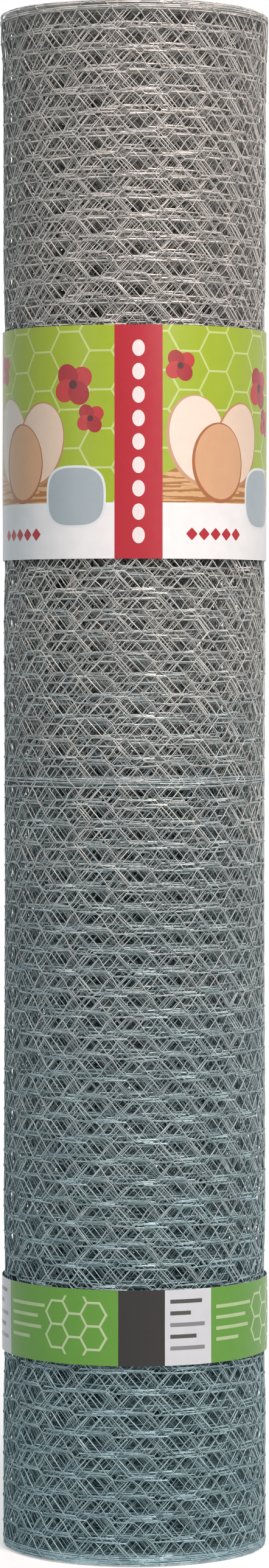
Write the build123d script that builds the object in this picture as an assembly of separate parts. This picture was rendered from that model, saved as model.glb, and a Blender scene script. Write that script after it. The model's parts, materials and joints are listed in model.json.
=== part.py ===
"""Standing roll of hexagonal wire netting held by two paper bands, in millimetres.

The roll stands on its end with its axis on Z and its lowest turns at Z = 0. The front is -Y.
"""

import os
from math import cos, degrees, pi, radians, sin, tau

from build123d import *

# The netting as it is sold, and the size it winds up to
netting_width = 1000.0
netting_length = 25000.0
roll_radius = 86.0
bore_radius = 25.0

# How far the loosest turns stand above the others, and how often they do so from bore to outside
turn_drift = 6.0
drift_waves = 3

# The valleys that part the turns on both ends, each ring between two of them being a few turns
turns_per_ring = 4
valley_width = 1.4
valley_depth = 1.8

# The slack outer turns open out towards the top
flare_height = 80.0
flare_out = 2.5

# The paper bands round the roll, glued where their ends lap at the back
paper_thickness = 0.25
band_clearance = 0.3
lap_length = 18.0
lap_angle = 90.0
upper_band_height = 150.0
upper_band_below_flare = 123.5
lower_band_height = 48.5
lower_band_base = 129.0

# The upper band hangs below the flare, on the straight wall of the roll
upper_band_top = netting_width - flare_height - upper_band_below_flare
upper_band_base = upper_band_top - upper_band_height

# Netting of this length fills the ring between bore and outside at this pitch from turn to turn
turn_pitch = pi * (roll_radius**2 - bore_radius**2) / netting_length
turn_count = (roll_radius - bore_radius) / turn_pitch
ring_count = round(turn_count / turns_per_ring)
ring_pitch = (roll_radius - bore_radius) / ring_count


def ring_lift(ring):
    """Height of a ring of turns above the floor: none at the bore and at the outside."""
    return turn_drift * (1 - cos(tau * drift_waves * ring / (ring_count - 1))) / 2


def end_profile(level, inward):
    """Points of one wound end from the bore outwards, its valleys cut inward (1 up, -1 down)."""
    lifts = [level + ring_lift(ring) for ring in range(ring_count)]
    points = [(bore_radius, lifts[0])]
    for ring in range(1, ring_count):
        valley_radius = bore_radius + ring * ring_pitch
        sides = lifts[ring - 1 : ring + 1]
        valley = max(sides) if inward > 0 else min(sides)
        points.append((valley_radius - valley_width / 2, sides[0]))
        points.append((valley_radius, valley + inward * valley_depth))
        points.append((valley_radius + valley_width / 2, sides[1]))
    return points


def make_netting_roll():
    """The wound netting as one turned solid with its bore."""
    bottom = end_profile(0, 1)
    top = end_profile(netting_width, -1)
    foot = (roll_radius, bottom[-1][1])
    flare_start = (roll_radius, netting_width - flare_height)
    lip = (roll_radius + flare_out, top[-1][1])
    base = Polyline(*bottom, foot, flare_start)
    flare = TangentArc(flare_start, lip, tangent=(0, 1))
    head = Polyline(lip, *reversed(top), bottom[0])
    half_section = Plane.XZ * make_face([base, flare, head])
    return revolve(half_section, Axis.Z)


def on_circle(radius, angle):
    """Point in plan at an angle in degrees from +X."""
    return (radius * cos(radians(angle)), radius * sin(radians(angle)))


def make_paper_band(base, height):
    """A strip of paper round the roll, its outer end lying one thickness proud on the lap."""
    inner_radius = roll_radius + band_clearance
    outer_radius = inner_radius + paper_thickness
    lap_radius = outer_radius + paper_thickness
    half_lap = degrees(lap_length / outer_radius) / 2
    free_end = lap_angle - half_lap
    lap_start = lap_angle + half_lap
    single = CenterArc((0, 0), outer_radius, lap_start, 360 - 2 * half_lap)
    step = Line(single @ 1, on_circle(lap_radius, free_end))
    lap_middle = on_circle((outer_radius + lap_radius) / 2, lap_angle)
    lap = ThreePointArc(step @ 1, lap_middle, single @ 0)
    section = make_face([single, step, lap]) - Circle(inner_radius)
    return Pos(0, 0, base) * extrude(section, height)


nodes = {
    "netting_roll": make_netting_roll(),
    "upper_paper_band": make_paper_band(upper_band_base, upper_band_height),
    "lower_paper_band": make_paper_band(lower_band_base, lower_band_height),
}

os.makedirs("parts", exist_ok=True)
for name, solid in nodes.items():
    export_step(solid, f"parts/{name}.step")
print(f"{turn_count:.1f} turns at a pitch of {turn_pitch:.3f} mm, drawn as {ring_count} rings")
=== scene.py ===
# %% [markdown]
# # A standing roll of hexagonal wire netting
#
# The object is 25 m of galvanised netting, one metre wide, wound on itself and stood on its end, with
# two printed paper bands round it. Almost all of what the eye sees is one small thing repeated tens of
# thousands of times: two wires twisted round each other, then parted again. So the lesson is mostly
# about repeating, first on a flat sheet and then wound up.

import json
from functools import partial
from math import cos, degrees, pi, radians, sin, sqrt, tau

import bpy
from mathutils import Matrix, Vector


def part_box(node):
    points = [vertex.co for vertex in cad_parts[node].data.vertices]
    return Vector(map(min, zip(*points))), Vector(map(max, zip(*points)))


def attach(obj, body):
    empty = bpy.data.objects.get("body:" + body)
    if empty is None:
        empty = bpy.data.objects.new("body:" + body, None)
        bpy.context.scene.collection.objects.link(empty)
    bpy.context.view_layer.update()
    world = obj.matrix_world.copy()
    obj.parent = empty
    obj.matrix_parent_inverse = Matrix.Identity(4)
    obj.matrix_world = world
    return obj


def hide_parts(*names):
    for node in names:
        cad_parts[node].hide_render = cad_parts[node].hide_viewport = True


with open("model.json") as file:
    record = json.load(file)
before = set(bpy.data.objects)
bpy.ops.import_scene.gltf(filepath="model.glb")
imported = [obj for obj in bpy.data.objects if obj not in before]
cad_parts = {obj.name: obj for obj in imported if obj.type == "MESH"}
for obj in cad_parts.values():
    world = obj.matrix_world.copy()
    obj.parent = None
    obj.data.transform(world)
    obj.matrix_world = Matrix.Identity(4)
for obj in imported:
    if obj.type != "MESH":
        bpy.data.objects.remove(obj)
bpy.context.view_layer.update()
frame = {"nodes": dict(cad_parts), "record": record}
print("frame holds", sorted(frame["nodes"]))

# %% [markdown]
# ## Sizes
#
# The frame already knows the bore, the width of the sheet and where the bands lie. The rest follows
# from the wire: what 25 m of it winds up to gives the pitch from one turn to the next.

# %% Read the sizes
MM = 0.001

bore = next(mount for mount in frame["record"]["mounts"] if mount["kind"] == "bore")
bore_radius = bore["dims"]["r_mm"] * MM
netting_width = bore["dims"]["length_mm"] * MM
netting_length = 25.0

paper_thickness = 0.25 * MM
band_clearance = 0.3 * MM
upper_low, upper_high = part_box("upper_paper_band")
lower_low, lower_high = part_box("lower_paper_band")
band_radius = (upper_high.x - upper_low.x) / 2
roll_radius = band_radius - paper_thickness - band_clearance

wire_diameter = 0.8 * MM
mesh_rows = 37
mesh_pitch = (netting_width - 2 * wire_diameter) / mesh_rows
column_spacing = 25.6 * MM
column_count = int(netting_length / column_spacing)
twist_length = 14.4 * MM

turn_pitch = pi * (roll_radius**2 - bore_radius**2) / netting_length
wound_radius = roll_radius - wire_diameter
turn_count = (wound_radius - bore_radius) / turn_pitch
print(f"roll {2000 * roll_radius:.1f} mm across, {turn_count:.1f} turns {1000 * turn_pitch:.2f} mm apart")
print(f"mesh {1000 * mesh_pitch:.2f} mm, {column_count} columns of {mesh_rows} twists")

# %% [markdown]
# ## Two small helpers
#
# Every tree below, for shapes and for finishes, is written with one function that adds a node, sets it
# and links it. A tree's own copy of that function is called add. Colours are written as the sRGB values
# that a paint chart shows, and one function turns them to the linear values that the shaders need.

# %% Node and colour helpers
MATH = "ShaderNodeMath"
VECTOR = "ShaderNodeVectorMath"
XYZ = "ShaderNodeCombineXYZ"
SPLIT = "ShaderNodeSeparateXYZ"
RANGE = "ShaderNodeMapRange"
NOISE = "ShaderNodeTexNoise"
MIX = "ShaderNodeMix"


def add_node(tree, kind, inputs=(), **settings):
    """Adds one node, sets it, then links or sets its inputs by order, number or name."""
    node = tree.nodes.new(kind)
    for name, value in settings.items():
        setattr(node, name, value)
    pairs = inputs.items() if isinstance(inputs, dict) else enumerate(inputs)
    for key, given in pairs:
        for value in given if isinstance(given, list) else [given]:
            if isinstance(value, bpy.types.Node):
                value = value.outputs[0]
            if isinstance(value, bpy.types.NodeSocket):
                tree.links.new(value, node.inputs[key])
            else:
                node.inputs[key].default_value = value
    return node


def linear(code):
    """A colour written as sRGB hex, as the linear values of a shader."""
    parts = [int(code[i : i + 2], 16) / 255 for i in (1, 3, 5)]
    return (*(c / 12.92 if c <= 0.04045 else ((c + 0.055) / 1.055) ** 2.4 for c in parts), 1.0)


print("bright zinc is", [round(part, 3) for part in linear("#e6e4e0")])

# %% [markdown]
# ## The galvanised wire
#
# Each wire is mild steel drawn to 0.8 mm and hot-dip galvanised. Zinc gives a satin grey metal with
# brighter spangles and duller, faintly blue patches where it has begun to weather. Towards the foot
# the wire is painted bluer and darker: partly weathering, where a roll stands on damp ground, and
# partly painted shade, where the warm light falls off lower down. The spangle could be an image, but
# a noise over the wire's own map is sharper and needs no file. The map has 8 by 8 tiles. Each mesh of
# the netting takes one of them. The row of tiles follows its height, so the weathering and the painted
# shade can too. The columns to the left are for the outer turns, which get painted shade, those to the
# right for the turns within them, which get painted light to make up for the shade of the outer turns,
# and which of them it is, is left to chance, so that neighbours seldom wear the same patches.

# %% Galvanised wire finish
WIRE_MAP = "OFBake"
WIRE_TILES = 8


def new_finish(name):
    """A new material, the function that adds nodes to it, and its shader."""
    material = bpy.data.materials.new(name)
    material.use_nodes = True
    tree = material.node_tree
    return material, partial(add_node, tree), tree.nodes["Principled BSDF"]


def make_galvanised_wire():
    """Hot-dip zinc on drawn wire: a satin grey with little shine, because its skin of oxide is dull."""
    material, add, shader = new_finish("hot_dip_galvanised_wire")
    link = material.node_tree.links.new
    shader.inputs["Metallic"].default_value = 0.2
    place = add("ShaderNodeUVMap", uv_map=WIRE_MAP)
    # A tile is about 18 mm of wire, so this scale makes patches of about 3 mm
    spangle = add(NOISE, {"Vector": place, "Scale": 6.0 * WIRE_TILES, "Detail": 2.0})
    # One value for each tile or two: some lengths of wire are duller all along
    dull = add(NOISE, {"Vector": place, "Scale": 0.9 * WIRE_TILES, "Detail": 0.0})
    mixed = add(MATH, (spangle, 0.45, dull), operation="MULTIPLY_ADD")
    zinc = add("ShaderNodeValToRGB", (mixed,))
    for stop, position, code in zip(zinc.color_ramp.elements, (0.52, 0.92), ("#acb1b2", "#e6e4e0")):
        stop.position = position
        stop.color = linear(code)
    # Up the map is up the roll, from bluer, darker zinc at the foot to bright zinc at the top
    # The bluer, darker foot is partly weathering and partly painted shade, where the warm light falls off
    inward, height, _ = add(SPLIT, (place,)).outputs
    dry_and_lit = add(RANGE, (height, 0.05, 0.78), interpolation_type="SMOOTHSTEP")
    weather_and_shade_cast = add(MIX, {0: dry_and_lit, 6: linear("#d5f6ff"), 7: linear("#fffcf9")}, data_type="RGBA")
    tinted = {0: 1.0, 6: zinc, 7: weather_and_shade_cast.outputs[2]}
    aged_and_shaded = add(MIX, tinted, data_type="RGBA", blend_type="MULTIPLY")
    # Painted shade on the outer turns, and painted light on the turns within, against the outer turns'
    # shade
    painted_depth_light = add(RANGE, (inward, 0.25, 0.5, 0.8, 1.09))
    shaded = {0: 1.0, 6: aged_and_shaded.outputs[2], 7: painted_depth_light}
    zinc_with_painted_light = add(MIX, shaded, data_type="RGBA", blend_type="MULTIPLY")
    rough = add(RANGE, (mixed, 0.5, 0.95, 0.55, 0.4))
    link(zinc_with_painted_light.outputs[2], shader.inputs["Base Color"])
    link(rough.outputs[0], shader.inputs["Roughness"])
    return material


galvanised_wire = make_galvanised_wire()
print("made", galvanised_wire.name)

# %% [markdown]
# ## Winding a flat sheet into a roll
#
# Netting is woven flat and then rolled, and the model is made the same way. On the flat sheet X runs
# along the length from the free outer end, Y across the width and Z out of the face. One node group
# then winds any such geometry onto a spiral. A spiral of even pitch has the radius
# r = sqrt(R^2 - pitch * x / pi) after a length x, and it has turned by 2 pi (R - r) / pitch.

# %% A tree and the even spiral


def new_tree(name, sizes):
    """An empty Geometry Nodes tree with its sizes as named inputs, and the function that adds to it."""
    tree = bpy.data.node_groups.new(name, "GeometryNodeTree")
    kinds = {int: "NodeSocketInt", float: "NodeSocketFloat", bpy.types.Material: "NodeSocketMaterial"}
    tree.interface.new_socket("Geometry", in_out="INPUT", socket_type="NodeSocketGeometry")
    for label, value in sizes.items():
        socket = tree.interface.new_socket(label, in_out="INPUT", socket_type=kinds[type(value)])
        socket.default_value = value
    tree.interface.new_socket("Geometry", in_out="OUTPUT", socket_type="NodeSocketGeometry")
    return tree, partial(add_node, tree), tree.nodes.new("NodeGroupInput").outputs


def even_spiral(add, given, along):
    """Radius, count of turns and angle of the spiral after a length of netting."""
    square = add(MATH, (given["Wound radius"], 2.0), operation="POWER")
    used = add(MATH, (along, given["Turn pitch"]), operation="MULTIPLY")
    shed = add(MATH, (used, pi), operation="DIVIDE")
    left = add(MATH, (square, shed), operation="SUBTRACT")
    radius = add(MATH, (left,), operation="SQRT")
    fallen = add(MATH, (given["Wound radius"], radius), operation="SUBTRACT")
    turn = add(MATH, (fallen, given["Turn pitch"]), operation="DIVIDE")
    angle = add(MATH, (turn, tau, given["Free end angle"]), operation="MULTIPLY_ADD")
    return radius, turn, angle


def on_circle(add, angle, radius):
    """The two coordinates of a point on a circle."""
    cosine = add(MATH, (angle,), operation="COSINE")
    sine = add(MATH, (angle,), operation="SINE")
    x = add(MATH, (radius, cosine), operation="MULTIPLY")
    y = add(MATH, (radius, sine), operation="MULTIPLY")
    return x, y


print(f"the outer turn takes {1000 * tau * wound_radius:.0f} mm of netting")

# %% [markdown]
# ### How the turns lie
#
# A real roll is never that even, so the same group adds the faults that show. The mesh is pulled askew
# like any netting that has been handled. Turns drift along the axis, and rows of one turn are stretched
# past those of the next. A slow wave and a noise would do, but then neighbours would lie level: so most
# of the drift goes up and down at a pace that lets no two turns in a row agree, and their twists spread
# into bands as they do on a roll.

# %% Faults along the sheet
noise_span = 4.0


def pulled_askew(add, given, flat, from_edge):
    """The flat sheet with its mesh pulled askew everywhere but at its two edges."""
    scale = add(MATH, (1.0, given["Pull size"]), operation="DIVIDE")
    noise = add(NOISE, {"Vector": flat, "Scale": scale, "Detail": 1.0})
    centred = add(VECTOR, (noise.outputs["Color"], (0.5, 0.5, 0.5)), operation="SUBTRACT")
    free = add(RANGE, (from_edge, 0.0, mesh_pitch, 0.0, 1.0))
    reach = add(MATH, (given["Pull"], free), operation="MULTIPLY")
    # A noise seldom strays by more than a quarter from its middle, so it is drawn out to its full reach
    full = add(MATH, (reach, noise_span), operation="MULTIPLY")
    spread = add(XYZ, (full, full, 0.0))
    return add(VECTOR, (centred, spread, flat), operation="MULTIPLY_ADD")


def drift_along_axis(add, given, turn):
    """How far a turn has slid: a slow rise and fall from outside to bore, and most of all a quick one."""
    share = add(MATH, (turn, given["Turns"]), operation="DIVIDE")
    waves = add(MATH, (share, given["Drift waves"]), operation="MULTIPLY")
    swing = add(MATH, (waves, tau), operation="MULTIPLY")
    crest = add(MATH, (swing,), operation="COSINE")
    slow = add(MATH, (crest, -0.5, 0.5), operation="MULTIPLY_ADD")
    pace = add(MATH, (turn, given["Wander rate"]), operation="MULTIPLY")
    quick = add(MATH, (pace, 1.0), operation="PINGPONG")
    drifted = add(MIX, {0: given["Wander"], 2: slow, 3: quick})
    return add(MATH, (drifted, given["Drift"], given["Foot clearance"]), operation="MULTIPLY_ADD")


def stretched_rows(add, given, turn, width, from_edge, across):
    """Rows of one turn stretched past those of the next, more so far from the edges."""
    along_roll = add(MATH, (turn, given["Stretch rate"]), operation="MULTIPLY")
    up_roll = add(MATH, (width, given["Stretch size"]), operation="DIVIDE")
    place = add(XYZ, (along_roll, up_roll, 0.0))
    noise = add(NOISE, {"Vector": place, "Scale": 1.0, "Detail": 0.0}, noise_dimensions="2D")
    centred = add(MATH, (noise, -0.5), operation="ADD")
    held = add(RANGE, (from_edge, 0.0, 3 * mesh_pitch, 0.0, 1.0))
    reach = add(MATH, (held, given["Stretch"]), operation="MULTIPLY")
    return add(MATH, (centred, reach, across), operation="MULTIPLY_ADD")


print(f"the pull is full from {1000 * mesh_pitch:.0f} mm off the edges")

# %% [markdown]
# ### How far the turns stand out
#
# The slack outer turns open out at the top, the netting springs out where no band holds it, and the
# middle is drawn in a little. The bands hold the outer turns tight, so the wires of one nest in the
# meshes of the next. Near the bands none of that brings a wire as far out as the paper.

# %% Faults across the roll


def opened_top(add, given, turn, width):
    """How far the outer turns open out towards the top."""
    start = add(MATH, (given["Netting width"], given["Flare height"]), operation="SUBTRACT")
    opening = add(RANGE, (width, start, given["Netting width"], 0.0, 1.0))
    curved = add(MATH, (opening, 2.0), operation="POWER")
    outer = add(RANGE, (turn, 0.0, given["Flare turns"], 1.0, 0.0))
    share = add(MATH, (curved, outer), operation="MULTIPLY")
    return add(MATH, (share, given["Flare"]), operation="MULTIPLY")


def sprung_out(add, given, width):
    """Share of the spring of the netting: none behind a band, and all of it away from both."""
    shares = []
    for low, high in ((upper_low, upper_high), (lower_low, lower_high)):
        half_band = (high.z - low.z) / 2
        from_middle = add(MATH, (width, (low.z + high.z) / 2), operation="SUBTRACT")
        distance = add(MATH, (from_middle,), operation="ABSOLUTE")
        reach = add(MATH, (given["Spring reach"], half_band), operation="ADD")
        shares.append(add(RANGE, (distance, half_band, reach, 0.0, 1.0)))
    return add(MATH, shares, operation="MINIMUM")


def drawn_in(add, given, flat, width):
    """How far the waist and the slack draw wires inwards."""
    from_waist = add(MATH, (width, given["Waist height"]), operation="SUBTRACT")
    share = add(MATH, (from_waist, given["Waist reach"]), operation="DIVIDE")
    square = add(MATH, (share, 2.0), operation="POWER")
    fall = add(MATH, (square, -1.0), operation="MULTIPLY")
    bell = add(MATH, (fall,), operation="EXPONENT")
    waist = add(MATH, (bell, given["Waist"]), operation="MULTIPLY")
    scale = add(MATH, (1.0, given["Slack size"]), operation="DIVIDE")
    noise = add(NOISE, {"Vector": flat, "Scale": scale, "Detail": 0.0})
    return add(MATH, (noise, given["Slack"], waist), operation="MULTIPLY_ADD")


def nested_turns(add, given, turn, radius):
    """Radius of a turn once the outer turns lie in each other's meshes."""
    turns_in = add(MATH, (turn, given["Nesting turns"]), operation="DIVIDE")
    turns_left = add(MATH, (1.0, turns_in), operation="SUBTRACT")
    loosened = add(MATH, (turns_left,), operation="EXPONENT")
    share = add(MATH, (turns_in, loosened), operation="MULTIPLY")
    return add(MATH, (share, given["Nesting"], radius), operation="MULTIPLY_ADD")


print("bands start at", [round(1000 * low.z, 1) for low in (upper_low, lower_low)], "mm")

# %% The winding group


def make_winding():
    """The group that winds flat geometry onto the roll, faults and all."""
    tree, add, given = new_tree("wind_into_roll", {
        "Wound radius": wound_radius,
        "Turn pitch": turn_pitch,
        "Turns": turn_count,
        "Netting width": netting_width,
        "Free end angle": radians(105.0),
        "Pull": 1.0 * MM,
        "Pull size": 55.0 * MM,
        "Stretch": 7.0 * MM,
        "Stretch size": 400.0 * MM,
        "Stretch rate": 0.9,
        "Drift": 6.0 * MM,
        "Drift waves": 3,
        "Wander": 0.85,
        "Wander rate": 0.764,
        "Foot clearance": 0.1 * MM,
        "Flare": 2.5 * MM,
        "Flare height": 80.0 * MM,
        "Flare turns": 4.0,
        "Spring": 1.0 * MM,
        "Spring reach": 40.0 * MM,
        "Waist": 0.9 * MM,
        "Waist height": 430.0 * MM,
        "Waist reach": 160.0 * MM,
        "Nesting": 5.0 * MM,
        "Nesting turns": 14.0,
        "Slack": 0.3 * MM,
        "Slack size": 45.0 * MM,
    })
    flat = add("GeometryNodeInputPosition")
    width = add(SPLIT, (flat,)).outputs["Y"]
    from_top = add(MATH, (given["Netting width"], width), operation="SUBTRACT")
    from_edge = add(MATH, (width, from_top), operation="MINIMUM")
    pulled = pulled_askew(add, given, flat, from_edge)
    along, across, out = add(SPLIT, (pulled,)).outputs
    radius, turn, angle = even_spiral(add, given, along)

    stretched = stretched_rows(add, given, turn, width, from_edge, across)
    lift = drift_along_axis(add, given, turn)
    height = add(MATH, (stretched, lift), operation="ADD")

    flare = opened_top(add, given, turn, width)
    loose = sprung_out(add, given, width)
    sprung = add(MATH, (loose, given["Spring"], flare), operation="MULTIPLY_ADD")
    nested = nested_turns(add, given, turn, radius)
    stood_out = add(MATH, (nested, out), operation="ADD")
    flared = add(MATH, (stood_out, sprung), operation="ADD")
    reach = add(MATH, (flared, drawn_in(add, given, flat, width)), operation="SUBTRACT")

    x, y = on_circle(add, angle, reach)
    wound = add(XYZ, (x, y, height))
    moved = add("GeometryNodeSetPosition", {"Geometry": given["Geometry"], "Position": wound})
    add("NodeGroupOutput", (moved,))
    return tree


winding = make_winding()
print("winding group has", len(winding.nodes), "nodes")

# %% [markdown]
# ## One mesh of the netting
#
# Two wires come in from the left, twist round each other for a few half turns and part again, one up
# and one down, to meet their other neighbours half a mesh away. So the piece that repeats is a twist
# and the two slanting wires to its right. It could be modelled by hand once, but as curves inside the
# tree its sizes stay named inputs, and the same tree draws it fine for the outer turns, where the two
# strands show, and plain for the turns that are seen only through others.

# %% A wire round a curve
STORE = "GeometryNodeStoreNamedAttribute"
READ = "GeometryNodeInputNamedAttribute"
MOVE = "GeometryNodeSetPosition"
SPLINE = "GeometryNodeSplineParameter"


def strand_tube(add, curve, radius, sides, lane):
    """A wire round a curve, with its share of the map: along it, and round it within its own lane."""
    marked = add(STORE, {"Geometry": curve, "Name": "along", "Value": add(SPLINE).outputs["Factor"]})
    laned = add(STORE, {"Geometry": marked, "Name": "lane", "Value": lane})
    points = add(MATH, (sides, 1.0), operation="ADD")
    # A tube of few sides looks thinner than a round one, so it is drawn wider to match
    corner = add(MATH, (pi, sides), operation="DIVIDE")
    side = add(MATH, (corner,), operation="SINE")
    narrow = add(MATH, (side, corner), operation="DIVIDE")
    wide = add(MATH, (radius, narrow), operation="DIVIDE")
    ring = add("GeometryNodeCurveArc", {"Resolution": points, "Radius": wide, "Sweep Angle": tau})
    profile = add(STORE, {"Geometry": ring, "Name": "around", "Value": add(SPLINE).outputs["Factor"]})
    return add("GeometryNodeCurveToMesh", {"Curve": laned, "Profile Curve": profile})


print(f"a wire is {1000 * wire_diameter:.1f} mm thick")

# %% Twist and slanting wires
lone_strand = 1.55
lanes = 4.0
seam_gap = 0.001 * MM


def twisted_wires(add, given, half_twist, wire_radius, strand_offset, two_strands):
    """The two strands of a twist, or one that is as thick as two wires look from most sides."""
    thickness = add(RANGE, (given["Strands"], 1.0, 2.0, lone_strand, 1.0))
    twist_radius = add(MATH, (wire_radius, thickness), operation="MULTIPLY")
    minus_half = add(MATH, (half_twist, -1.0), operation="MULTIPLY")
    start = add(XYZ, (minus_half, 0.0, 0.0))
    end = add(XYZ, (half_twist, 0.0, 0.0))
    straight = add("GeometryNodeCurvePrimitiveLine", {"Start": start, "End": end})
    points = add(MATH, (given["Twist steps"], 1.0), operation="ADD")
    stepped = add("GeometryNodeResampleCurve", {"Curve": straight, "Count": points})
    turned = add(MATH, (add(SPLINE).outputs["Factor"], given["Half turns"]), operation="MULTIPLY")
    strands = []
    for lane in (0, 1):
        phase = add(MATH, (turned, pi, lane * pi), operation="MULTIPLY_ADD")
        beside, above = on_circle(add, phase, strand_offset)
        offset = add(XYZ, (0.0, beside, above))
        coiled = add(MOVE, {"Geometry": stepped, "Offset": offset})
        strands.append(strand_tube(add, coiled, twist_radius, given["Wire sides"], float(lane)))
    pair = add("GeometryNodeJoinGeometry", {"Geometry": strands})
    choice = {"Switch": two_strands, "False": strands[0], "True": pair}
    return add("GeometryNodeSwitch", choice, input_type="GEOMETRY")


def slanting_wires(add, given, half_twist, wire_radius, strand_offset):
    """The two wires to the next column, which leave and meet the twists in line with them."""
    far = add(MATH, (given["Column spacing"], half_twist), operation="SUBTRACT")
    near_handle = add(MATH, (half_twist, given["Bend length"]), operation="ADD")
    far_handle = add(MATH, (far, given["Bend length"]), operation="SUBTRACT")
    half_mesh = add(MATH, (given["Mesh pitch"], 0.5), operation="MULTIPLY")
    landing = add(MATH, (half_mesh, strand_offset), operation="SUBTRACT")
    slants = []
    for lane, side in ((2, 1.0), (3, -1.0)):
        leave = add(MATH, (strand_offset, side), operation="MULTIPLY")
        land = add(MATH, (landing, side), operation="MULTIPLY")
        slant = add("GeometryNodeCurvePrimitiveBezierSegment", {
            "Resolution": given["Bend steps"],
            "Start": add(XYZ, (half_twist, leave, 0.0)),
            "Start Handle": add(XYZ, (near_handle, leave, 0.0)),
            "End Handle": add(XYZ, (far_handle, land, 0.0)),
            "End": add(XYZ, (far, land, 0.0)),
        })
        slants.append(strand_tube(add, slant, wire_radius, given["Wire sides"], float(lane)))
    return slants


def one_mesh(add, given, half_twist):
    """A twist and the wires after it, with their place in one tile of the map."""
    wire_radius = add(MATH, (given["Wire diameter"], 0.5), operation="MULTIPLY")
    two_strands = add(MATH, (given["Strands"], 1.5), operation="GREATER_THAN")
    strand_offset = add(MATH, (wire_radius, two_strands), operation="MULTIPLY")
    twist = twisted_wires(add, given, half_twist, wire_radius, strand_offset, two_strands)
    slants = slanting_wires(add, given, half_twist, wire_radius, strand_offset)
    wires = add("GeometryNodeJoinGeometry", {"Geometry": [twist, *slants]})
    # The place on the map is stored before the seam along each wire is closed
    around = add(MATH, (add(READ, ("lane",)), add(READ, ("around",))), operation="ADD")
    upward = add(MATH, (around, lanes), operation="DIVIDE")
    in_tile = add(XYZ, (add(READ, ("along",)), upward, 0.0))
    marks = {"Geometry": wires, "Name": "in_tile", "Value": in_tile}
    mapped = add(STORE, marks, data_type="FLOAT2", domain="CORNER")
    return add("GeometryNodeMergeByDistance", {"Geometry": mapped, "Distance": seam_gap})


print(f"a twist is {1000 * twist_length:.1f} mm long")

# %% [markdown]
# ### Columns and rows
#
# On the sheet the twists stand in columns, and every second column is half a mesh lower, which is what
# makes the meshes six-sided. An array modifier could repeat the mesh, but points with an instance on
# each are as quick, and each point can carry its own tile of the map.

# %% The flat sheet
rounding_guard = 0.0005
under_one = 0.999


def laid_out(add, given, mesh, half_twist):
    """A mesh for each twist of the sheet."""
    stack = add(MATH, (given["Rows"], 1.0), operation="ADD")
    total = add(MATH, (given["Columns"], stack), operation="MULTIPLY")
    index = add("GeometryNodeInputIndex")
    ratio = add(MATH, (index, stack), operation="DIVIDE")
    nudged = add(MATH, (ratio, rounding_guard), operation="ADD")
    column = add(MATH, (nudged,), operation="FLOOR")
    before = add(MATH, (column, stack), operation="MULTIPLY")
    row = add(MATH, (index, before), operation="SUBTRACT")
    number = add(MATH, (column, given["First column"]), operation="ADD")
    parity = add(MATH, (number, 2.0), operation="MODULO")
    raised = add(MATH, (parity, -0.5, 0.5), operation="MULTIPLY_ADD")
    level = add(MATH, (row, raised), operation="ADD")
    along = add(MATH, (number, given["Column spacing"], half_twist), operation="MULTIPLY_ADD")
    across = add(MATH, (level, given["Mesh pitch"], given["Edge inset"]), operation="MULTIPLY_ADD")
    place = add(XYZ, (along, across, 0.0))
    points = add("GeometryNodePoints", {"Count": total, "Position": place})
    too_high = add(MATH, (across, given["Netting width"]), operation="GREATER_THAN")
    kept = add("GeometryNodeDeleteGeometry", {"Geometry": points, "Selection": too_high})
    return add("GeometryNodeInstanceOnPoints", {"Points": kept, "Instance": mesh})


def with_tiles(add, given, placed):
    """Gives each mesh the corner of its tile: a column by chance, the row of its height or one above."""
    stood = add(SPLIT, (add("GeometryNodeInputPosition"),)).outputs["Y"]
    zone = add(RANGE, (stood, 0.0, given["Netting width"], 0.0, WIRE_TILES - 1.0))
    end_column = add(MATH, (given["First tile"], given["Tile columns"]), operation="ADD")
    least = add(XYZ, (given["First tile"], 0.0, 0.0))
    most = add(XYZ, (end_column, under_one, 0.0))
    limits = {"Min": least, "Max": most, "Seed": given["Tile seed"]}
    chance = add("FunctionNodeRandomValue", limits, data_type="FLOAT_VECTOR")
    raised_zone = add(XYZ, (0.0, zone, 0.0))
    drawn = add(VECTOR, (chance, raised_zone), operation="ADD")
    corner = add(VECTOR, (drawn,), operation="FLOOR")
    marks = {"Geometry": placed, "Name": "tile", "Value": corner}
    return add(STORE, marks, data_type="FLOAT_VECTOR", domain="INSTANCE")


def cut_edges(add, given, sheet):
    """Cuts away the wires that would reach past the two edges."""
    height = add(SPLIT, (add("GeometryNodeInputPosition"),)).outputs["Y"]
    low = add(MATH, (given["Wire diameter"], -1.0), operation="MULTIPLY")
    high = add(MATH, (given["Netting width"], given["Wire diameter"]), operation="ADD")
    under = add(MATH, (height, low), operation="LESS_THAN")
    over = add(MATH, (height, high), operation="GREATER_THAN")
    beyond = add(MATH, (under, over), operation="MAXIMUM")
    return add("GeometryNodeDeleteGeometry", {"Geometry": sheet, "Selection": beyond}, domain="FACE")


print(f"columns stand {1000 * column_spacing:.1f} mm apart")

# %% The netting tree


def put_on_map(add, wire, place):
    """Stores a place counted in tiles as the wire's own map."""
    scaled = add(VECTOR, {0: place, "Scale": 1 / WIRE_TILES}, operation="SCALE")
    marks = {"Geometry": wire, "Name": WIRE_MAP, "Value": scaled}
    return add(STORE, marks, data_type="FLOAT2", domain="CORNER")


def wind_up(add, flat):
    """Winds a flat sheet or wire onto the roll, shaded smooth."""
    wound = add("GeometryNodeGroup", {"Geometry": flat}, node_tree=winding)
    return add("GeometryNodeSetShadeSmooth", {"Geometry": wound})


def end_tree(add, shape, finish):
    """Ends a tree: instances are made real, the finish is set and the shape is handed out."""
    realized = add("GeometryNodeRealizeInstances", (shape,))
    finished = add("GeometryNodeSetMaterial", {"Geometry": realized, "Material": finish})
    add("NodeGroupOutput", (finished,))


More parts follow.
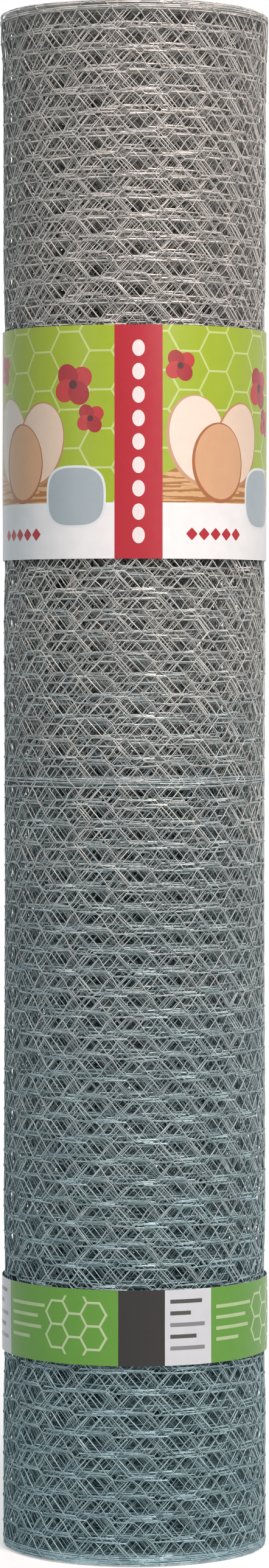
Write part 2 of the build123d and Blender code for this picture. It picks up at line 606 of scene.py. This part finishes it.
def make_netting():
    """The tree that makes some columns of the sheet and winds them onto the roll."""
    tree, add, given = new_tree("hexagonal_netting", {
        "First column": 0,
        "Columns": 10,
        "Rows": mesh_rows,
        "Mesh pitch": mesh_pitch,
        "Column spacing": column_spacing,
        "Edge inset": wire_diameter,
        "Netting width": netting_width,
        "Twist length": twist_length,
        "Wire diameter": wire_diameter,
        "Half turns": 3,
        "Strands": 2,
        "Wire sides": 3,
        "Twist steps": 6,
        "Bend steps": 3,
        "Bend length": 3.5 * MM,
        "First tile": 0,
        "Tile columns": WIRE_TILES,
        "Tile seed": 11,
        "Wire finish": galvanised_wire,
    })
    half_twist = add(MATH, (given["Twist length"], 0.5), operation="MULTIPLY")
    mesh = one_mesh(add, given, half_twist)
    placed = laid_out(add, given, mesh, half_twist)
    sheet = add("GeometryNodeRealizeInstances", (with_tiles(add, given, placed),))
    trimmed = cut_edges(add, given, sheet)
    # Each mesh takes its own tile of the map
    places = [add(READ, (name,), data_type="FLOAT_VECTOR") for name in ("in_tile", "tile")]
    mapped = put_on_map(add, trimmed, add(VECTOR, places, operation="ADD"))
    end_tree(add, wind_up(add, mapped), given["Wire finish"])
    return tree


netting = make_netting()
print("netting tree has", len(netting.nodes), "nodes")

# %% [markdown]
# ## The turns
#
# A tree is run once for each group of turns, and what it made is kept as a plain mesh. Fine detail is
# kept for the two outer turns. The next three are seen through them and need less, and all the rest
# only fill the gaps with more wire, so there a twist is one thick strand.

# %% Run the netting tree
SCRATCH = ("along", "lane", "around", "in_tile", "tile", "strip", "depth", "step")


def grow(name, tree, sizes, node):
    """Runs a tree once, keeps what it made as a plain mesh piece on the root body, and hides the CAD
    part.
    """
    piece = bpy.data.objects.new(name, bpy.data.meshes.new(name))
    bpy.context.scene.collection.objects.link(piece)
    modifier = piece.modifiers.new("grow", "NODES")
    modifier.node_group = tree
    for item in tree.interface.items_tree:
        if item.in_out == "INPUT" and item.name != "Geometry":
            modifier[item.identifier] = sizes.get(item.name, item.default_value)
    depsgraph = bpy.context.evaluated_depsgraph_get()
    made = bpy.data.meshes.new_from_object(
        piece.evaluated_get(depsgraph), preserve_all_data_layers=True, depsgraph=depsgraph
    )
    piece.modifiers.remove(modifier)
    piece.data = made
    for label in SCRATCH:
        if label in made.attributes:
            made.attributes.remove(made.attributes[label])
    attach(piece, "root")
    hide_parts(node)
    print(name, "has", sum(len(face.vertices) - 2 for face in made.polygons), "triangles")


outer_columns = 40
middle_columns = 60
inner_columns = -(-(column_count - outer_columns - middle_columns) // 3)
# First tile and tile columns set a group's painted light: darkest for the outer turns, lightest within
fine = {"Twist steps": 6, "Bend steps": 3, "First tile": 0, "Tile columns": 2}
medium = {"Twist steps": 3, "Bend steps": 2, "First tile": 2, "Tile columns": 2}
plain = {"Twist steps": 1, "Bend steps": 1, "Strands": 1, "First tile": 4, "Tile columns": 4}
groups = [
    ("netting_outer_turns", outer_columns, fine),
    ("netting_second_turns", middle_columns, medium),
    ("netting_inner_turns_1", inner_columns, plain),
    ("netting_inner_turns_2", inner_columns, plain),
    ("netting_inner_turns_3", inner_columns, plain),
]
first_column = 0
for name, columns, detail in groups:
    columns = min(columns, column_count - first_column)
    sizes = {"First column": first_column, "Columns": columns, "Tile seed": first_column, **detail}
    grow(name, netting, sizes, "netting_roll")
    first_column += columns

# %% [markdown]
# ## Edge wires and centre wire
#
# Along each edge of the sheet two straight wires run the whole length, and one more runs along the
# middle, to keep the netting from stretching. Wound up, they are long spirals. A line taken in steps of
# even length would be a coarse polygon at the bore, so the steps are even in angle instead.

# %% The line wires


def line_along_sheet(add, given):
    """A straight line along the sheet, in steps of even angle on the roll, each with its number."""
    steps = add(MATH, (given["Turns"], given["Steps each turn"]), operation="MULTIPLY")
    line = add("GeometryNodeCurvePrimitiveLine")
    stepped = add("GeometryNodeResampleCurve", {"Curve": line, "Count": steps})
    factor = add(SPLINE).outputs["Factor"]
    depth = add(MATH, (given["Wound radius"], given["Inner radius"]), operation="SUBTRACT")
    fallen = add(MATH, (factor, depth), operation="MULTIPLY")
    radius = add(MATH, (given["Wound radius"], fallen), operation="SUBTRACT")
    full = add(MATH, (given["Wound radius"], 2.0), operation="POWER")
    left = add(MATH, (radius, 2.0), operation="POWER")
    used = add(MATH, (full, left), operation="SUBTRACT")
    area = add(MATH, (used, pi), operation="MULTIPLY")
    along = add(MATH, (area, given["Turn pitch"]), operation="DIVIDE")
    place = add(XYZ, (along, given["Height"], 0.0))
    laid = add(MOVE, {"Geometry": stepped, "Position": place})
    number = add(MATH, (factor, steps), operation="MULTIPLY")
    return add(STORE, {"Geometry": laid, "Name": "step", "Value": number})


def make_line_wire():
    """The tree that runs one straight wire along the sheet and winds it onto the roll."""
    tree, add, given = new_tree("line_wire", {
        "Wound radius": wound_radius,
        "Inner radius": bore_radius,
        "Turn pitch": turn_pitch,
        "Turns": turn_count,
        "Steps each turn": 41,
        "Netting width": netting_width,
        "Height": 0.0,
        "Wire diameter": wire_diameter,
        "Wire sides": 3,
        "Wire finish": galvanised_wire,
    })
    line = line_along_sheet(add, given)
    wire_radius = add(MATH, (given["Wire diameter"], 0.5), operation="MULTIPLY")
    wire = strand_tube(add, line, wire_radius, given["Wire sides"], 0.0)

    # Each step of the line takes the next tile in the row of its height, in the right half of the map
    # The right half of the map carries the most painted light, so the line wires are painted light all
    # along
    step = add(READ, ("step",))
    middle = add("GeometryNodeFieldOnDomain", {"Value": step}, domain="FACE")
    whole = add(MATH, (middle,), operation="FLOOR")
    in_step = add(MATH, (step, whole), operation="SUBTRACT")
    clear = add("ShaderNodeClamp", (in_step, 0.0, 1.0))
    column = add(MATH, (whole, WIRE_TILES / 2), operation="MODULO")
    right = add(MATH, (column, WIRE_TILES / 2), operation="ADD")
    u = add(MATH, (right, clear), operation="ADD")
    row = add(RANGE, (given["Height"], 0.0, given["Netting width"], 0.0, WIRE_TILES - 1.0))
    v = add(MATH, (add(READ, ("around",)), 1 / lanes, row), operation="MULTIPLY_ADD")
    mapped = put_on_map(add, wire, add(XYZ, (u, v, 0.0)))
    closed = add("GeometryNodeMergeByDistance", {"Geometry": mapped, "Distance": seam_gap})
    end_tree(add, wind_up(add, closed), given["Wire finish"])
    return tree


line_wire = make_line_wire()
edge_gap = 1.1 * MM
line_heights = {
    "edge_wire_foot_1": wire_diameter / 2,
    "edge_wire_foot_2": wire_diameter / 2 + edge_gap,
    "centre_wire": netting_width / 2,
    "edge_wire_top_1": netting_width - wire_diameter / 2 - edge_gap,
    "edge_wire_top_2": netting_width - wire_diameter / 2,
}
for name, height in line_heights.items():
    grow(name, line_wire, {"Height": height}, "netting_roll")

# %% [markdown]
# ## The print on the bands
#
# Each band is coated paper, printed in solid inks on a roll press, so the same design comes round
# again and again. The design here is made of plain patches in millimetres: an ellipse, or something
# close to a box, laid one over another like inks. A picture file would be quicker to look at, but
# patches stay sharp at any size and can be changed one by one.

# %% Print helpers
BOX = 60.0
BAR = 30.0
TALLER_THAN_BAND = 200.0


def patch(add, point, centre, size, turn=0.0, squareness=2.0):
    """Mask of one printed patch in mm: an ellipse, or nearly a box where the squareness is high."""
    frame_of_patch = {
        "Vector": point,
        "Location": (*centre, 0.0),
        "Rotation": (0.0, 0.0, radians(turn)),
        "Scale": (size[0] / 2, size[1] / 2, 1.0),
    }
    local = add("ShaderNodeMapping", frame_of_patch, vector_type="TEXTURE")
    positive = add(VECTOR, (local,), operation="ABSOLUTE")
    x, y, _ = add(SPLIT, (positive,)).outputs
    x_power = add(MATH, (x, squareness), operation="POWER")
    y_power = add(MATH, (y, squareness), operation="POWER")
    total = add(MATH, (x_power, y_power), operation="ADD")
    return add(MATH, (total, 1.0), operation="LESS_THAN")


def hexagon_lines(add, point, shift, across, line):
    """Mask of the lines of a honeycomb, its cells this far across their flats, in mm."""
    moved = add(VECTOR, (point, shift), operation="ADD")
    high = (across * sqrt(3.0) / 2, across / 2, 0.5)
    low = tuple(-side for side in high)
    between = add(VECTOR, (moved, high), operation="ADD")
    distances = []
    for start in (moved, between):
        centre = add(VECTOR, (start, high, low), operation="WRAP")
        positive = add(VECTOR, (centre,), operation="ABSOLUTE")
        slope = add(VECTOR, (positive, (sqrt(3.0) / 2, 0.5, 0.0)), operation="DOT_PRODUCT")
        upright = add(SPLIT, (positive,)).outputs["Y"]
        distances.append(add(MATH, (slope.outputs["Value"], upright), operation="MAXIMUM"))
    nearest = add(MATH, distances, operation="MINIMUM")
    return add(MATH, (nearest, across / 2 - line / 2), operation="GREATER_THAN")


def ink(add, under, code, mask):
    """Lays one ink over what is printed already, where the mask is 1."""
    return add(MIX, {0: mask, 6: under, 7: linear(code)}, data_type="RGBA").outputs[2]


band_circumference = tau * band_radius / MM
print(f"a band is {band_circumference:.1f} mm round")

# %% [markdown]
# ### The paper
#
# The gloss coating gives a soft band of light along the paper. Three faint noises keep it from looking
# like plastic: the ink lies a little thicker here and there, the gloss is uneven, and the sheet has
# cockled where damp got into it. The paper's map is one repeat of the design, and its lowest strip is
# kept for the bare inside.

# %% Coated paper finish
PRINT_MAP = "OFBake"
INSIDE_SHARE = 0.02


def make_band_paper(name, repeat, height, front, design):
    """Coated paper: a smooth white sheet whose inks look wet where a lamp is mirrored in the gloss."""
    material, add, shader = new_finish(name)
    link = material.node_tree.links.new
    shader.inputs["IOR"].default_value = 1.5
    place = add("ShaderNodeUVMap", uv_map=PRINT_MAP)
    rise = height / (1 - INSIDE_SHARE)
    corner = (-front, -INSIDE_SHARE * rise, 0.0)
    point = add("ShaderNodeMapping", {"Vector": place, "Location": corner, "Scale": (repeat, rise, 0.0)})
    level = add(SPLIT, (point,)).outputs["Y"]
    inside = add(MATH, (level, 0.0), operation="LESS_THAN")
    colour = ink(add, design(add, point), "#efeeea", inside)
    # Real sizes in mm: patches of ink, of gloss and of cockle, each wave the inverse of its scale
    density = add(NOISE, {"Vector": point, "Scale": 1 / 9.0, "Detail": 4.0})
    shade = add(RANGE, (density, 0.3, 0.7, 0.95, 1.0))
    printed = add(MIX, {0: 1.0, 6: colour, 7: shade}, data_type="RGBA", blend_type="MULTIPLY")
    gloss = add(NOISE, {"Vector": point, "Scale": 1 / 4.0, "Detail": 2.0})
    rough = add(RANGE, (gloss, 0.3, 0.7, 0.3, 0.4))
    cockle = add(NOISE, {"Vector": point, "Scale": 1 / 18.0, "Detail": 1.0})
    relief = add("ShaderNodeBump", {"Strength": 0.5, "Distance": 0.25 * MM, "Height": cockle})
    link(printed.outputs[2], shader.inputs["Base Color"])
    link(rough.outputs[0], shader.inputs["Roughness"])
    link(relief.outputs[0], shader.inputs["Normal"])
    return material


print("the inside of a band takes", INSIDE_SHARE, "of its map")

# %% [markdown]
# ### The upper band
#
# A lime field with the pale outline of a wire mesh, a white strip along the foot, a red bar with a row
# of ovals and, where a seller would put a picture, a few eggs on straw with red poppies. The tag is
# blank. The band is divided into segments, and the design comes round after a whole number of them.

# %% Picture side of the upper band
upper_round, upper_repeat = 90, 24
upper_segment = band_circumference / upper_round
upper_length = upper_repeat * upper_segment


def straw_and_eggs(add, point, colour):
    """Straw in strokes that lean, and three eggs, each with a darker rim to part it from the next."""
    straw = patch(add, point, (55.0, 46.0), (84.0, 34.0), 4.0, 2.4)
    lean = (0.0, 0.0, radians(24.0))
    streaks = add("ShaderNodeMapping", {"Vector": point, "Rotation": lean, "Scale": (0.03, 0.45, 1.0)})
    noise = add(NOISE, {"Vector": streaks, "Scale": 1.0, "Detail": 3.0})
    stalk = add(MATH, (noise, 0.5), operation="GREATER_THAN")
    bright_straw = add(MATH, (straw, stalk), operation="MULTIPLY")
    colour = ink(add, colour, "#a9713d", straw)
    colour = ink(add, colour, "#d9ae7c", bright_straw)
    for centre, size, turn, body, rim in (
        ((43.0, 76.0), (44.0, 60.0), 14.0, "#f3e0d0", "#c99c7c"),
        ((76.0, 74.0), (42.0, 56.0), -16.0, "#ecd2bb", "#bb8762"),
        ((59.0, 62.0), (42.0, 52.0), 3.0, "#d9a981", "#a9683f"),
    ):
        colour = ink(add, colour, rim, patch(add, point, centre, size, turn))
        inner_centre = (centre[0] + 0.6, centre[1] + 0.8)
        inner_size = (size[0] - 3.0, size[1] - 3.5)
        colour = ink(add, colour, body, patch(add, point, inner_centre, inner_size, turn))
    return colour


def poppies(add, point, colour):
    """Poppies, each of four petals round a dark heart."""
    petal_reach, petal_breadth, heart_size = 0.42, 0.9, 0.36
    for centre, petal in (((104.0, 112.0), 16.0), ((116.0, 90.0), 11.0), ((30.0, 124.0), 12.0)):
        for quarter in range(4):
            angle = radians(35.0 + 90.0 * quarter)
            out = petal_reach * petal
            spot = (centre[0] + out * cos(angle), centre[1] + out * sin(angle))
            code = "#a32b31" if quarter % 2 else "#bd3b3c"
            shape = patch(add, point, spot, (petal, petal * petal_breadth), degrees(angle))
            colour = ink(add, colour, code, shape)
        heart = petal * heart_size
        colour = ink(add, colour, "#4a1d22", patch(add, point, centre, (heart, heart)))
    return colour


print(f"upper design comes round every {upper_length:.1f} mm")

# %% Upper band paper
bar_middle = 2.6
oval_step = 15.0


def red_bar(add, point, colour):
    """A red bar with a row of white ovals, each one drawn by folding the height into steps."""
    x, y, _ = add(SPLIT, (point,)).outputs
    step_height = add(MATH, (y, oval_step / 2, -oval_step / 2), operation="WRAP")
    folded = add(XYZ, (x, step_height, 0.0))
    # The repeat begins and ends within the bar, so both of its parts are drawn
    for middle in (bar_middle, bar_middle + upper_length):
        bar = patch(add, point, (middle, 75.0), (31.0, TALLER_THAN_BAND), 0.0, BOX)
        colour = ink(add, colour, "#b31f2e", bar)
        oval = patch(add, folded, (middle, 0.0), (8.0, 10.5))
        row = patch(add, point, (middle, 75.0), (12.0, 132.0), 0.0, BOX)
        colour = ink(add, colour, "#f0e6e4", add(MATH, (oval, row), operation="MULTIPLY"))
    return colour


def upper_design(add, point):
    """The inks of the upper band, from the field up."""
    field = add("ShaderNodeRGB")
    field.outputs[0].default_value = linear("#a1b62c")
    net = hexagon_lines(add, point, (7.0, 4.0, 0.0), 25.0, 1.3)
    colour = ink(add, field, "#c9d68a", net)
    colour = straw_and_eggs(add, point, colour)
    colour = poppies(add, point, colour)
    # The white strip, and the blank tag on its upper edge
    colour = ink(add, colour, "#f4f3f2", patch(add, point, (0.0, 0.0), (600.0, 72.0), 0.0, BOX))
    colour = ink(add, colour, "#e9edee", patch(add, point, (105.0, 40.0), (43.0, 40.0), 0.0, 3.0))
    colour = ink(add, colour, "#a9b5ba", patch(add, point, (105.0, 40.0), (40.0, 37.0), 0.0, 3.0))
    colour = red_bar(add, point, colour)
    for step in range(5):
        diamond = patch(add, point, (38.0 + 9.0 * step, 16.0), (6.0, 6.0), 45.0, 8.0)
        colour = ink(add, colour, "#b31f2e", diamond)
    return colour


upper_height = (upper_high.z - upper_low.z) / MM
upper_band_paper = make_band_paper(
    "gloss_coated_paper_upper_print", upper_length, upper_height, 1.5 * upper_segment, upper_design
)
print("made", upper_band_paper.name)

# %% [markdown]
# ### The lower band
#
# Green, with a dark block, a white panel of plain rules such as a data table has, a few pale bars in
# place of small print and a honeycomb of hexagons.

# %% Lower band paper
lower_round, lower_repeat = 96, 27
lower_segment = band_circumference / lower_round
lower_length = lower_repeat * lower_segment
block_middle = 4.6
DARK_RULE = "#4c4a48"
PALE_RULE = "#8b8a8c"


def lower_design(add, point):
    """The inks of the lower band, from the field up."""
    field = add("ShaderNodeRGB")
    field.outputs[0].default_value = linear("#649f35")
    comb = hexagon_lines(add, point, (-113.0, -25.0, 0.0), 15.0, 1.5)
    comb_area = patch(add, point, (113.0, 25.0), (46.0, 38.0), 0.0, 3.0)
    colour = ink(add, field, "#c4d8a6", add(MATH, (comb, comb_area), operation="MULTIPLY"))
    for level, length in ((36.0, 34.0), (29.0, 28.0), (22.0, 31.0), (15.0, 20.0)):
        bar = patch(add, point, (56.0 + length / 2, level), (length, 2.2), 0.0, BAR)
        colour = ink(add, colour, "#bcd39c", bar)
    # The repeat begins and ends within the dark block
    for middle in (block_middle, block_middle + lower_length):
        block = patch(add, point, (middle, 24.0), (30.0, TALLER_THAN_BAND), 0.0, BOX)
        colour = ink(add, colour, "#1a1714", block)
    panel = patch(add, point, (35.7, 24.0), (32.4, TALLER_THAN_BAND), 0.0, BOX)
    colour = ink(add, colour, "#dfe0e4", panel)
    for level, length, code in (
        (41.0, 22.0, DARK_RULE),
        (33.5, 14.0, DARK_RULE),
        (26.0, 24.0, PALE_RULE),
        (18.5, 18.0, DARK_RULE),
        (11.0, 24.0, PALE_RULE),
    ):
        rule = patch(add, point, (23.0 + length / 2, level), (length, 2.6), 0.0, BAR)
        colour = ink(add, colour, code, rule)
    return colour


lower_height = (lower_high.z - lower_low.z) / MM
lower_band_paper = make_band_paper(
    "gloss_coated_paper_lower_print", lower_length, lower_height, 0.5 * lower_segment, lower_design
)
print(f"lower design comes round every {lower_length:.1f} mm")

# %% [markdown]
# ## Wrapping the bands
#
# A band is a flat strip until it is wrapped round the roll and its two ends are glued over each other
# at the back. The tree does the same: a grid is bent round the axis, the end that lies outside is
# lifted by one thickness of paper, and the sheet is given its thickness inwards. Paper round wire is
# never quite true, so it bellies out a little between the places where it is held.

# %% A strip round the roll
lap_fall_segments = 3.0
belly_noise_radius = 86.0 * MM
cut_angle = radians(40.0)


def wrapped_strip(add, given):
    """The outside of the band: a grid bent round the axis, with its count of segments stored."""
    total = add(MATH, (given["Round segments"], given["Lap segments"]), operation="ADD")
    columns = add(MATH, (total, 1.0), operation="ADD")
    rows = add(MATH, (given["Rows"], 1.0), operation="ADD")
    sides = {"Size X": total, "Size Y": 1.0, "Vertices X": columns, "Vertices Y": rows}
    grid = add("GeometryNodeMeshGrid", sides)
    flat_x, flat_y, _ = add(SPLIT, (add("GeometryNodeInputPosition"),)).outputs
    count = add(MATH, (total, 0.5, flat_x), operation="MULTIPLY_ADD")
    share = add(MATH, (flat_y, 0.5), operation="ADD")
    strip = add(XYZ, (count, share, 0.0))
    marked = add(STORE, {"Geometry": grid, "Name": "strip", "Value": strip}, data_type="FLOAT_VECTOR")

    # The outside end lies over the other, and comes down beyond the lap
    step = add(MATH, (tau, given["Round segments"]), operation="DIVIDE")
    angle = add(MATH, (flat_x, step, -pi / 2), operation="MULTIPLY_ADD")
    lap_end = add(MATH, (given["Lap segments"], lap_fall_segments), operation="ADD")
    over = add(RANGE, (count, given["Lap segments"], lap_end, 1.0, 0.0))
    raised = add(MATH, (over, given["Paper thickness"], given["Outer radius"]), operation="MULTIPLY_ADD")
    height = add(MATH, (share, given["Height"], given["Base"]), operation="MULTIPLY_ADD")

    # The belly follows a noise on the roll itself, so it closes where the ends meet
    on_roll = add(XYZ, (*on_circle(add, angle, belly_noise_radius), height))
    scale = add(MATH, (1.0, given["Belly size"]), operation="DIVIDE")
    noise = add(NOISE, {"Vector": on_roll, "Scale": scale, "Detail": 0.0})
    belly = add(MATH, (noise, given["Belly"], raised), operation="MULTIPLY_ADD")
    place = add(XYZ, (*on_circle(add, angle, belly), height))
    return add(MOVE, {"Geometry": marked, "Position": place})


def inside_of(add, given, outside):
    """The inside and the rims: a copy one thickness in, with its depth stored."""
    bent_x, bent_y, _ = add(SPLIT, (add("GeometryNodeInputPosition"),)).outputs
    outward = add(VECTOR, (add(XYZ, (bent_x, bent_y, 0.0)),), operation="NORMALIZE")
    sunk = add(MATH, (given["Paper thickness"], -1.0), operation="MULTIPLY")
    way = {"Mesh": outside, "Offset": outward, "Offset Scale": sunk, "Individual": False}
    extruded = add("GeometryNodeExtrudeMesh", way)
    deep = add(STORE, {"Geometry": extruded, "Name": "depth", "Value": extruded.outputs["Top"]})
    return add("GeometryNodeFlipFaces", {"Mesh": deep})


def shaded_paper(add, paper):
    """Paper bends smoothly round the roll, and only its cut edges are sharp."""
    smooth = add("GeometryNodeSetShadeSmooth", {"Geometry": paper})
    bend = add("GeometryNodeInputMeshEdgeAngle").outputs["Unsigned Angle"]
    cut = add(MATH, (bend, cut_angle), operation="GREATER_THAN")
    sharp = {"Geometry": smooth, "Selection": cut, "Shade Smooth": False}
    return add("GeometryNodeSetShadeSmooth", sharp, domain="EDGE")


print(f"the paper lies {1000 * band_radius:.1f} mm from the axis")

# %% The bands
# Shares of the map that the bare inside and the rims take
inside_rise = 0.01
rim_rise = 0.005
rim_run = 0.01


def make_band_tree():
    """The tree that wraps one band: one repeat of the print outside, a bare strip for inside and rims."""
    tree, add, given = new_tree("wrapped_band", {
        "Round segments": 90,
        "Lap segments": 3,
        "Repeat segments": 24,
        "Repeat shift": 8,
        "Rows": 6,
        "Base": 0.0,
        "Height": 0.1,
        "Outer radius": band_radius,
        "Paper thickness": paper_thickness,
        "Belly": 0.7 * MM,
        "Belly size": 60.0 * MM,
        "Paper": upper_band_paper,
    })
    outside = wrapped_strip(add, given)
    inside = inside_of(add, given, outside)

    # Each face belongs to the repeat that its middle lies in
    repeat = given["Repeat segments"]
    count, share, _ = add(SPLIT, (add(READ, ("strip",), data_type="FLOAT_VECTOR"),)).outputs
    middle = add("GeometryNodeFieldOnDomain", {"Value": count}, domain="FACE")
    counted = add(MATH, (middle, given["Repeat shift"]), operation="SUBTRACT")
    ratio = add(MATH, (counted, repeat), operation="DIVIDE")
    whole = add(MATH, (ratio,), operation="FLOOR")
    start = add(MATH, (whole, repeat, given["Repeat shift"]), operation="MULTIPLY_ADD")
    local = add(MATH, (count, start), operation="SUBTRACT")
    u = add(MATH, (local, repeat), operation="DIVIDE")
    v = add(RANGE, (share, 0.0, 1.0, INSIDE_SHARE, 1.0))

    depth = add(READ, ("depth",))
    inside_v = add(MATH, (share, inside_rise), operation="MULTIPLY")
    rim_v = add(MATH, (depth, rim_rise, inside_v), operation="MULTIPLY_ADD")
    rim_u = add(MATH, (depth, rim_run, u), operation="MULTIPLY_ADD")
    kept_u = add("ShaderNodeClamp", (rim_u, 0.0, 1.0))
    sheets = []
    for sheet, across, up in ((outside, u, v), (inside, kept_u, rim_v)):
        marks = {"Geometry": sheet, "Name": PRINT_MAP, "Value": add(XYZ, (across, up, 0.0))}
        sheets.append(add(STORE, marks, data_type="FLOAT2", domain="CORNER"))
    joined = add("GeometryNodeJoinGeometry", {"Geometry": sheets})
    closed = add("GeometryNodeMergeByDistance", {"Geometry": joined, "Distance": seam_gap})
    end_tree(add, shaded_paper(add, closed), given["Paper"])
    return tree


band_tree = make_band_tree()
upper_sizes = {
    "Round segments": upper_round,
    "Repeat segments": upper_repeat,
    "Repeat shift": 21,
    "Rows": 10,
    "Base": upper_low.z,
    "Height": upper_high.z - upper_low.z,
    "Paper": upper_band_paper,
}
lower_sizes = {
    "Round segments": lower_round,
    "Repeat segments": lower_repeat,
    "Repeat shift": 22,
    "Rows": 4,
    "Base": lower_low.z,
    "Height": lower_high.z - lower_low.z,
    "Paper": lower_band_paper,
    "Belly": 1.6 * MM,
}
grow("upper_band", band_tree, upper_sizes, "upper_paper_band")
grow("lower_band", band_tree, lower_sizes, "lower_paper_band")

# %% [markdown]
# ## Studio
#
# The roll stands on a plain white floor before a white background. A large soft lamp to the front right
# is the main light, a second one close above the front makes the top brighter than the foot, a narrow
# one on the left leaves a soft line of gloss on the paper, and one behind lights the other side. The
# background is white to the camera and in the wires' reflections only. What light it gives is weak and
# cool, so that the shaded side is bluer than the lit one.

# %% Floor and world


def seen_directly(add):
    """1 for what the camera sees, straight, mirrored or through glass, and 0 for other light."""
    path = add("ShaderNodeLightPath").outputs
    mirrored = add(MATH, (path["Is Camera Ray"], path["Is Glossy Ray"]), operation="MAXIMUM")
    return add(MATH, (mirrored, path["Is Transmission Ray"]), operation="MAXIMUM")


def make_floor_finish():
    """White board: it takes the shadow, and shows white where there is none."""
    material, add, shader = new_finish("white_studio_floor")
    shader.inputs["Base Color"].default_value = linear("#f4f4f4")
    shader.inputs["Roughness"].default_value = 0.9
    # A little warm, to make up for the cool light of the background
    shader.inputs["Emission Color"].default_value = linear("#fff7f4")
    # Near the roll the lamps make the floor white, so a shadow shows; farther off it glows instead
    place = add("ShaderNodeTexCoord").outputs["Object"]
    distance = add(VECTOR, (place,), operation="LENGTH").outputs["Value"]
    fade = add(RANGE, (distance, 0.4, 2.6, 0.45, 0.86), interpolation_type="SMOOTHSTEP")
    glow = add(MATH, (seen_directly(add), fade), operation="MULTIPLY")
    material.node_tree.links.new(glow.outputs[0], shader.inputs["Emission Strength"])
    return material


def make_world():
    """A background that is white to look at and gives a weak cool light."""
    world = bpy.data.worlds.new("white_studio")
    world.use_nodes = True
    tree = world.node_tree
    add = partial(add_node, tree)
    background = tree.nodes["Background"]
    background.inputs["Color"].default_value = linear("#a6ddf0")
    background.inputs["Strength"].default_value = 0.19
    white = add("ShaderNodeBackground", {"Color": linear("#ffffff"), "Strength": 1.0})
    mixed = add("ShaderNodeMixShader", (seen_directly(add), background, white))
    tree.links.new(mixed.outputs[0], tree.nodes["World Output"].inputs["Surface"])
    bpy.context.scene.world = world


reach = 40.0
floor_mesh = bpy.data.meshes.new("studio_floor")
corners = [(-reach, -reach, 0), (reach, -reach, 0), (reach, reach, 0), (-reach, reach, 0)]
floor_mesh.from_pydata(corners, [], [(0, 1, 2, 3)])
floor_mesh.materials.append(make_floor_finish())
floor = bpy.data.objects.new("studio_floor", floor_mesh)
bpy.context.scene.collection.objects.link(floor)
make_world()
print("floor and world ready")

# %% Lamps


def add_lamp(name, place, aim_height, size, power, code):
    """A soft rectangular lamp that faces a point on the roll's axis."""
    data = bpy.data.lights.new(name, "AREA")
    data.shape = "RECTANGLE"
    data.size, data.size_y = size
    data.energy = power
    data.color = linear(code)[:3]
    lamp = bpy.data.objects.new(name, data)
    lamp.location = place
    lamp.rotation_mode = "QUATERNION"
    aim = Vector((0.0, 0.0, aim_height))
    lamp.rotation_quaternion = (aim - Vector(place)).to_track_quat("-Z", "Y")
    bpy.context.scene.collection.objects.link(lamp)
    print(name, "gives", power, "W")


add_lamp("key_lamp", (1.25, -2.3, 1.8), 0.8, (0.9, 0.9), 40.0, "#fff2ee")
add_lamp("high_lamp", (0.5, -1.5, 2.2), 0.9, (0.8, 0.8), 24.0, "#ffeee8")
add_lamp("side_lamp", (-1.9, -1.9, 1.1), 0.6, (0.3, 1.2), 3.5, "#f4fbff")
add_lamp("back_lamp", (0.2, 2.7, 2.0), 0.6, (1.0, 1.0), 22.0, "#ffffff")

# %% [markdown]
# ## Camera
#
# The picture was taken from about three metres away, level, a little above the middle of the roll. The
# lens is moved down instead of the camera being tilted, so upright lines stay upright.

# %% Camera
bpy.context.scene.view_settings.view_transform = "Standard"
camera_data = bpy.data.cameras.new("camera")
camera_data.sensor_fit = "AUTO"
camera_data.sensor_width = 36.0
camera_data.lens = 108.0
camera_data.shift_y = -0.0826
camera = bpy.data.objects.new("camera", camera_data)
camera.location = (0.0, -3.1, 0.585)
camera.rotation_euler = (radians(90.0), 0.0, 0.0)
bpy.context.scene.collection.objects.link(camera)
bpy.context.scene.camera = camera
print("camera looks along +Y from", camera.location[1], "m")
